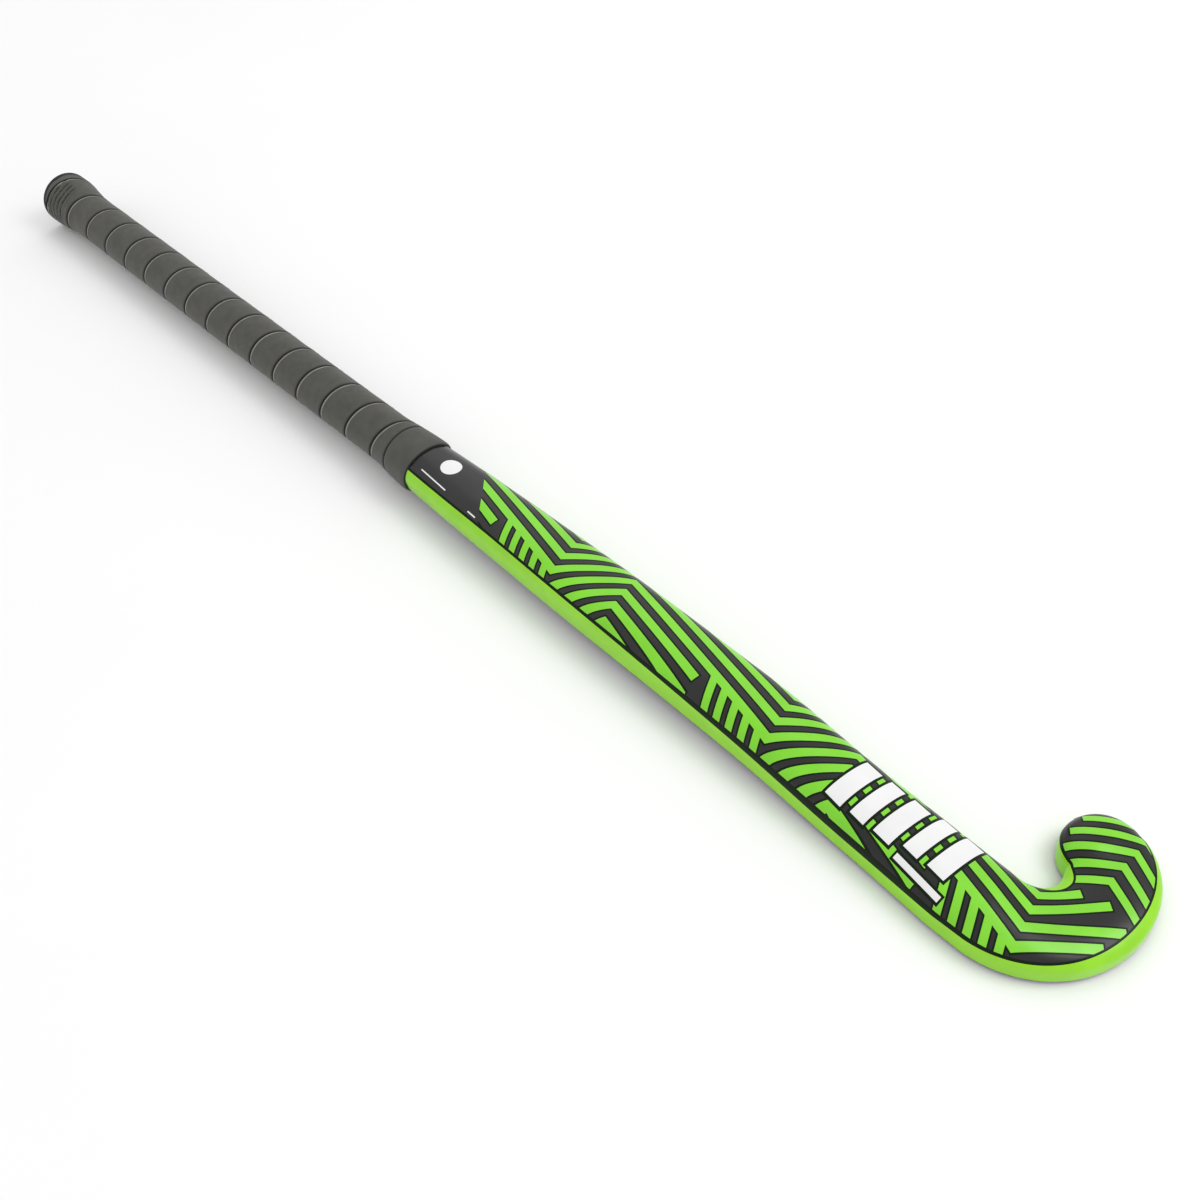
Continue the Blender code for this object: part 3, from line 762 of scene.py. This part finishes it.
def make_grip_skin(material, groove_shade_material, edge_highlight_material):
    """One strip wound on the handle, its rolled edges meeting in a spiral groove."""
    last = BAND_START - STRIP_GAP
    rings = []
    depths = []
    turns = int(last / WRAP_PITCH) + 2
    shape = [(0.0, 0.15), (0.0002, 0.45), (0.0005, 0.72), (0.0009, 0.92), (0.0015, 1.04), (0.0023, 1.08),
             (STRIP_EDGE, 1.02)]
    for step in range(-2 * TURN_STEPS, turns * TURN_STEPS):
        low = FIRST_SEAM + WRAP_PITCH * step / TURN_STEPS
        high = min(low + WRAP_PITCH - STRIP_GAP, last)
        low = max(low + STRIP_GAP, FRONT)
        if high - low < STRIP_SHORTEST:
            continue
        angle = math.pi / 2 - 2 * math.pi * step / TURN_STEPS
        span = high - low
        squeeze = min(1.0, span / STRIP_SQUEEZE)
        outline = [(low + edge * squeeze, height) for edge, height in shape]
        middle_start = low + STRIP_EDGE * squeeze
        middle_end = high - STRIP_EDGE * squeeze
        for k in range(1, STRIP_POINTS):
            outline.append((middle_start + (middle_end - middle_start) * k / STRIP_POINTS, 1.0))
        outline += [(high - edge * squeeze, height) for edge, height in reversed(shape)]
        ring = []
        fold_end = min(high - FOLD_MARGIN, FOLD_END) if step < 0 else 0.0
        for distance, height in outline:
            fold = butt_folds(distance, angle, fold_end) if height > 0.9 else 0.0
            lift = ripple(distance, angle) if height > 0.9 else 0.0
            # Fold depth of each point, kept to place the painted shade in the creases.
            depths.append(fold)
            top = TAPE_OFFSET + flare(distance) + TAPE_THICKNESS * height + fold + lift
            ring.append(handle_point(distance, angle, top))
        depths += [0.0, 0.0]
        ring.append(handle_point(high, angle, TAPE_OFFSET + flare(high)))
        ring.append(handle_point(low, angle, TAPE_OFFSET + flare(low)))
        rings.append(ring)
    points, faces = loft(rings)
    count = len(rings[0])
    # Painted shade: the faces down in the spiral groove between turns take the dark material.
    groove = set(range(0, 3)) | set(range(count - 6, count))
    # Painted highlight: faces 3 and 4 sit on top of each turn's rolled low edge and take the paler material,
    # which stands in for light caught there.
    edge = {3, 4}
    materials = []
    for i, face in enumerate(faces):
        # Painted shade: faces whose mean fold depth lies below FOLD_SHADE take the dark material, darkening
        # the creases.
        fold_shaded = sum(depths[k] for k in face) / len(face) < FOLD_SHADE
        materials.append(1 if i % count in groove or fold_shaded else 2 if i % count in edge else 0)
    return add_piece("grip_skin", points, faces, [material, groove_shade_material, edge_highlight_material],
                     replaced=("grip_tape",), face_materials=materials,
                     sharp_degrees=70)


def make_band_skin(material, line_material):
    """Smooth closing band with rounded edges and a thin dark line at its end."""
    lip = -(TAPE_OFFSET - 0.0002) / TAPE_THICKNESS
    profile = [(BAND_START, 0.0), (BAND_START, 0.55)]
    profile += [(BAND_START + 0.0003, 0.85), (BAND_START + 0.0009, 1.02)]
    profile += [(BAND_START + 0.0009 + (BAND_LENGTH - 0.0052) * k / 8, 1.04) for k in range(1, 9)]
    profile += [(GRIP_LENGTH - back, height) for back, height in BAND_END]
    profile += [(GRIP_LENGTH, lip), (GRIP_LENGTH - 0.0008, lip), (GRIP_LENGTH - 0.0008, 0.0)]
    rings = []
    for distance, height in profile:
        ring = []
        for step in range(RING_STEPS):
            angle = 2 * math.pi * step / RING_STEPS
            lift = ripple(distance, angle) if height > 0.9 else 0.0
            thinned = max(BAND_TAPER * (distance - BAND_START) / BAND_LENGTH * height, 0.0)
            ring.append(handle_point(distance, angle, TAPE_OFFSET + TAPE_THICKNESS * height - thinned + lift))
        rings.append(ring)
    points, faces = loft(rings, close_ends=False)
    faces += bridge((len(rings) - 1) * RING_STEPS, 0, RING_STEPS)
    materials = []
    for face in faces:
        middle = sum(points[k][0] for k in face) / len(face)
        materials.append(1 if middle > GRIP_LENGTH - BAND_LINE else 0)
    return add_piece("band_skin", points, faces, [material, line_material],
                     replaced=("finish_band",), face_materials=materials, sharp_degrees=70)


def make_cap_skin(material):
    """Moulded rubber cap with a rounded rim, a shallow ring groove and its spigot."""
    flat = RIM_RADIUS - CAP_EDGE
    spigot_end = CAP_THICKNESS + SPIGOT_LENGTH
    profile = [(spigot_end, 0.0)]
    profile += [(spigot_end + along, SPIGOT_RADIUS + out) for along, out in SPIGOT_ROUND]
    profile += [(CAP_THICKNESS, SPIGOT_RADIUS), (CAP_THICKNESS, flat)]
    for step in range(1, CAP_RIM_STEPS):
        angle = math.pi * step / CAP_RIM_STEPS
        profile.append((CAP_THICKNESS / 2 * (1 + math.cos(angle)), flat + CAP_EDGE * math.sin(angle)))
    profile += [(0.0, flat)] + CAP_DISC
    rings = []
    points = []
    faces = []
    for distance, radius in profile:
        if radius == 0.0:
            rings.append([len(points)])
            points.append((distance, 0.0, RIM_RADIUS))
            continue
        ring = []
        for step in range(RING_STEPS):
            angle = 2 * math.pi * step / RING_STEPS
            ring.append(len(points))
            points.append((distance, radius * math.cos(angle), RIM_RADIUS + radius * math.sin(angle)))
        rings.append(ring)
    for before, after in zip(rings, rings[1:]):
        for k in range(RING_STEPS):
            n = (k + 1) % RING_STEPS
            if len(before) == 1:
                faces.append((before[0], after[k], after[n]))
            elif len(after) == 1:
                faces.append((before[k], before[n], after[0]))
            else:
                faces.append((before[k], before[n], after[n], after[k]))
    return add_piece("cap_skin", points, faces, [material], replaced=("butt_cap",))


# ---- materials ----
class Look:
    """Procedural material: one shader, object coordinates, and helpers that vary colour, gloss and relief."""

    def __init__(self, name, color, roughness, coat=0.0, coat_roughness=0.1, sheen=0.0, specular=0.5):
        self.material = bpy.data.materials.new(name)
        self.material.use_nodes = True
        self.tree = self.material.node_tree
        self.shader = self.tree.nodes["Principled BSDF"]
        self.color = color
        self.shader.inputs["Base Color"].default_value = (*color, 1.0)
        self.shader.inputs["Roughness"].default_value = roughness
        self.shader.inputs["Coat Weight"].default_value = coat
        self.shader.inputs["Coat Roughness"].default_value = coat_roughness
        self.shader.inputs["Sheen Weight"].default_value = sheen
        self.shader.inputs["Specular IOR Level"].default_value = specular
        self.material.diffuse_color = (*color, 1.0)
        self.place = self.tree.nodes.new("ShaderNodeTexCoord")
        self.relief = None

    def noise(self, scale, detail=4.0, roughness=0.55, stretch=(1, 1, 1)):
        mapping = self.tree.nodes.new("ShaderNodeMapping")
        mapping.inputs["Scale"].default_value = stretch
        self.tree.links.new(self.place.outputs["Object"], mapping.inputs["Vector"])
        noise = self.tree.nodes.new("ShaderNodeTexNoise")
        noise.inputs["Scale"].default_value = scale
        noise.inputs["Detail"].default_value = detail
        noise.inputs["Roughness"].default_value = roughness
        self.tree.links.new(mapping.outputs["Vector"], noise.inputs["Vector"])
        return noise.outputs["Fac"]

    def cells(self, scale, feature="F1"):
        cells = self.tree.nodes.new("ShaderNodeTexVoronoi")
        cells.feature = feature
        cells.inputs["Scale"].default_value = scale
        self.tree.links.new(self.place.outputs["Object"], cells.inputs["Vector"])
        return cells.outputs["Distance"]

    def remap(self, value, low, high, to_low, to_high):
        node = self.tree.nodes.new("ShaderNodeMapRange")
        node.inputs["From Min"].default_value = low
        node.inputs["From Max"].default_value = high
        node.inputs["To Min"].default_value = to_low
        node.inputs["To Max"].default_value = to_high
        self.tree.links.new(value, node.inputs["Value"])
        return node.outputs["Result"]

    def mix_color(self, factor, first, second):
        """Blend of two colours, each a tuple or the output of an earlier blend."""
        node = self.tree.nodes.new("ShaderNodeMix")
        node.data_type = "RGBA"
        self.tree.links.new(factor, node.inputs[0])
        for value, socket in ((first, node.inputs[6]), (second, node.inputs[7])):
            if isinstance(value, tuple):
                socket.default_value = (*value, 1.0)
            else:
                self.tree.links.new(value, socket)
        return node.outputs[2]

    def set_color(self, output):
        self.tree.links.new(output, self.shader.inputs["Base Color"])

    def vary_color(self, scale, amount, detail=4.0, stretch=(1, 1, 1)):
        """Lighter and darker patches of the base colour."""
        dark = tuple(channel * (1 - amount) for channel in self.color)
        light = tuple(min(channel * (1 + amount), 1.0) for channel in self.color)
        factor = self.remap(self.noise(scale, detail, stretch=stretch), 0.3, 0.7, 0.0, 1.0)
        self.set_color(self.mix_color(factor, dark, light))

    def vary_roughness(self, scale, low, high, detail=4.0):
        value = self.remap(self.noise(scale, detail), 0.3, 0.7, low, high)
        self.tree.links.new(value, self.shader.inputs["Roughness"])

    def bump(self, height, strength, distance):
        node = self.tree.nodes.new("ShaderNodeBump")
        node.inputs["Strength"].default_value = strength
        node.inputs["Distance"].default_value = distance
        self.tree.links.new(height, node.inputs["Height"])
        if self.relief is not None:
            self.tree.links.new(self.relief, node.inputs["Normal"])
        self.relief = node.outputs["Normal"]
        self.tree.links.new(self.relief, self.shader.inputs["Normal"])

    def fade_along(self, color, start, end):
        """The colour passes into another one along the stick."""
        split = self.tree.nodes.new("ShaderNodeSeparateXYZ")
        self.tree.links.new(self.place.outputs["Object"], split.inputs["Vector"])
        current = self.shader.inputs["Base Color"].links[0].from_socket
        self.set_color(self.mix_color(self.remap(split.outputs["X"], start, end, 0.0, 1.0), current, color))

    def edge_wear(self, color, start, end):
        """Paler worn paint where the surface turns sharply outward."""
        geometry = self.tree.nodes.new("ShaderNodeNewGeometry")
        factor = self.remap(geometry.outputs["Pointiness"], start, end, 0.0, 0.35)
        current = self.shader.inputs["Base Color"].links[0].from_socket
        self.set_color(self.mix_color(factor, current, color))


def lacquer(name, color, roughness=0.30, amount=0.06, coat=0.20, specular=0.35):
    """Satin-gloss paint under a clear coat with a slight orange-peel and faint scuffs."""
    look = Look(name, color, roughness, coat=coat, coat_roughness=0.16, specular=specular)
    look.vary_color(60.0, amount, 5.0)
    look.vary_roughness(35.0, roughness - 0.05, roughness + 0.08, 6.0)
    look.bump(look.noise(520.0, 2.0), 0.10, 0.0002)
    look.bump(look.noise(26.0, 2.0, stretch=(0.5, 1, 1)), 0.10, 0.0006)
    return look


def make_materials():
    black = lacquer("black_lacquer", (0.013, 0.013, 0.014), 0.32, 0.25)
    black.edge_wear((0.07, 0.07, 0.07), 0.53, 0.62)
    green = lacquer("lime_side", (0.272, 0.665, 0.010), 0.30)
    charcoal = lacquer("charcoal_back", (0.022, 0.022, 0.022), 0.30, 0.10, coat=0.14, specular=0.28)
    charcoal.fade_along((0.009, 0.010, 0.009), 0.05, 0.36)
    lime = lacquer("lime_stripe", (0.200, 0.640, 0.020), 0.30)
    outline = lacquer("dark_outline", (0.002, 0.010, 0.001), 0.30, coat=0.05, specular=0.12)
    white = lacquer("white_bar", (0.80, 0.80, 0.80), 0.30, 0.03)

    grip = Look("grip_cushion", (0.067, 0.066, 0.056), 0.80, sheen=0.15, specular=0.35)
    grip.vary_color(140.0, 0.12, 6.0)
    grip.vary_roughness(220.0, 0.70, 0.90)
    grip.bump(grip.cells(1500.0), 0.25, 0.0002)
    grip.bump(grip.noise(900.0, 4.0), 0.20, 0.0002)
    grip.bump(grip.noise(70.0, 3.0, stretch=(1, 0.4, 0.4)), 0.25, 0.0008)

    band = Look("band_tape", (0.060, 0.060, 0.052), 0.62, sheen=0.08, specular=0.40)
    band.vary_color(110.0, 0.10, 5.0)
    band.vary_roughness(160.0, 0.54, 0.70)
    band.bump(band.noise(1300.0, 3.0), 0.12, 0.0002)
    band.bump(band.noise(60.0, 3.0, stretch=(1, 0.4, 0.4)), 0.20, 0.0006)

    # Painted highlight: a paler grey for the top of the grip's rolled strip edges, standing in for the light
    # they catch, not the tape's own colour.
    edge = Look("rolled_edge_painted_highlight", (0.190, 0.188, 0.172), 0.60, sheen=0.15, specular=0.45)
    edge.vary_color(90.0, 0.30, 5.0)
    edge.bump(edge.noise(900.0, 4.0), 0.20, 0.0002)

    # Dark material: painted shade in the grip's spiral groove and fold creases, and the thin dark line at the
    # end of the closing band.
    line_and_shade = Look("dark_line_and_painted_shade", (0.012, 0.012, 0.011), 0.70)
    line_and_shade.vary_color(300.0, 0.3)
    line_and_shade.bump(line_and_shade.noise(900.0), 0.2, 0.0002)

    rubber = Look("cap_rubber", (0.020, 0.020, 0.019), 0.66, specular=0.35)
    rubber.vary_color(180.0, 0.25, 5.0)
    rubber.vary_roughness(120.0, 0.56, 0.76)
    rubber.bump(rubber.noise(1400.0, 3.0), 0.20, 0.0002)

    looks = {"black": black, "green": green, "charcoal": charcoal, "lime": lime, "outline": outline,
             "white": white, "grip": grip, "band": band, "line_and_shade": line_and_shade, "edge": edge, "rubber": rubber}
    looks.update(make_inner_materials())
    return {name: look.material for name, look in looks.items()}


def make_inner_materials():
    """Foam, plastic and paper of the pieces inside the stick."""
    looks = {}
    for name, color, scale in (("shaft_core", (0.72, 0.66, 0.48), 420.0),
                               ("head_core", (0.55, 0.42, 0.24), 620.0),
                               ("butt_collar", (0.050, 0.050, 0.050), 900.0)):
        foam = Look(name + "_foam", color, 0.90, specular=0.25)
        foam.vary_color(scale / 3, 0.14, 5.0)
        foam.vary_roughness(scale / 2, 0.80, 0.97)
        foam.bump(foam.cells(scale), 0.55, 0.0006)
        looks[name] = foam
    plug = Look("handle_plug_plastic", (0.10, 0.10, 0.11), 0.50)
    plug.vary_color(90.0, 0.10)
    plug.vary_roughness(140.0, 0.44, 0.60)
    plug.bump(plug.noise(1000.0, 3.0), 0.12, 0.0002)
    looks["handle_plug"] = plug
    paper = Look("grip_liner_paper", (0.78, 0.75, 0.66), 0.78, specular=0.25)
    paper.vary_color(200.0, 0.06, 6.0, stretch=(1, 3, 3))
    paper.vary_roughness(240.0, 0.70, 0.86)
    paper.bump(paper.noise(1200.0, 5.0, stretch=(1, 4, 4)), 0.30, 0.0002)
    looks["grip_liner"] = paper
    return looks


# ---- floor, light and camera ----
def make_studio():
    floor_mesh = bpy.data.meshes.new("floor")
    builder = bmesh.new()
    bmesh.ops.create_grid(builder, x_segments=1, y_segments=1, size=6.0)
    builder.to_mesh(floor_mesh)
    builder.free()
    floor = bpy.data.objects.new("floor", floor_mesh)
    floor.location = (0.0, 0.0, -0.0002)
    bpy.context.scene.collection.objects.link(floor)
    look = Look("pale_floor", (0.93, 0.93, 0.93), 0.9, specular=0.1)
    look.vary_color(3.0, 0.01)
    floor_mesh.materials.append(look.material)

    world = bpy.data.worlds.new("studio")
    world.use_nodes = True
    world.node_tree.nodes["Background"].inputs["Color"].default_value = (1.0, 1.0, 1.0, 1.0)
    world.node_tree.nodes["Background"].inputs["Strength"].default_value = WORLD_STRENGTH
    bpy.context.scene.world = world
    bpy.context.scene.view_settings.view_transform = "Standard"

    for name, direction, distance, size, power in LIGHTS:
        light = bpy.data.lights.new(name, "AREA")
        light.shape = "SQUARE"
        light.size = size
        light.energy = power
        lamp = bpy.data.objects.new(name, light)
        towards = mathutils.Vector(direction).normalized()
        lamp.location = towards * distance
        lamp.rotation_euler = towards.to_track_quat("Z", "Y").to_euler()
        bpy.context.scene.collection.objects.link(lamp)


def make_camera():
    back = mathutils.Vector((math.sin(CAMERA_TURN) * math.cos(CAMERA_ELEVATION),
                             -math.cos(CAMERA_TURN) * math.cos(CAMERA_ELEVATION),
                             math.sin(CAMERA_ELEVATION)))
    level = mathutils.Vector((math.cos(CAMERA_TURN), math.sin(CAMERA_TURN), 0.0))
    upright = back.cross(level)
    right = level * math.cos(CAMERA_ROLL) + upright * math.sin(CAMERA_ROLL)
    up = upright * math.cos(CAMERA_ROLL) - level * math.sin(CAMERA_ROLL)
    turn = mathutils.Matrix((right, up, back)).transposed().to_4x4()
    data = bpy.data.cameras.new("camera")
    data.lens = CAMERA_LENS
    data.sensor_width = 36.0
    data.clip_start = 0.01
    camera = bpy.data.objects.new("camera", data)
    camera.matrix_world = mathutils.Matrix.Translation(CAMERA_PLACE) @ turn
    bpy.context.scene.collection.objects.link(camera)
    bpy.context.scene.camera = camera


def main():
    looks = make_materials()
    stations = all_stations()
    painted = [station for station in stations if station.distance >= PAINT_START - 1e-9]
    make_shell_skin(stations, looks["black"])
    make_side_skin(painted, looks["green"], looks["black"])
    make_back_skin(painted, [looks["charcoal"], looks["lime"], looks["outline"], looks["white"]])
    make_grip_skin(looks["grip"], looks["line_and_shade"], looks["edge"])
    make_band_skin(looks["band"], looks["line_and_shade"])
    make_cap_skin(looks["rubber"])
    for node in ("shaft_core", "head_core", "handle_plug", "butt_collar", "grip_liner"):
        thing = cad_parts[node]
        thing.data.materials.clear()
        thing.data.materials.append(looks[node])
    make_studio()
    make_camera()


main()
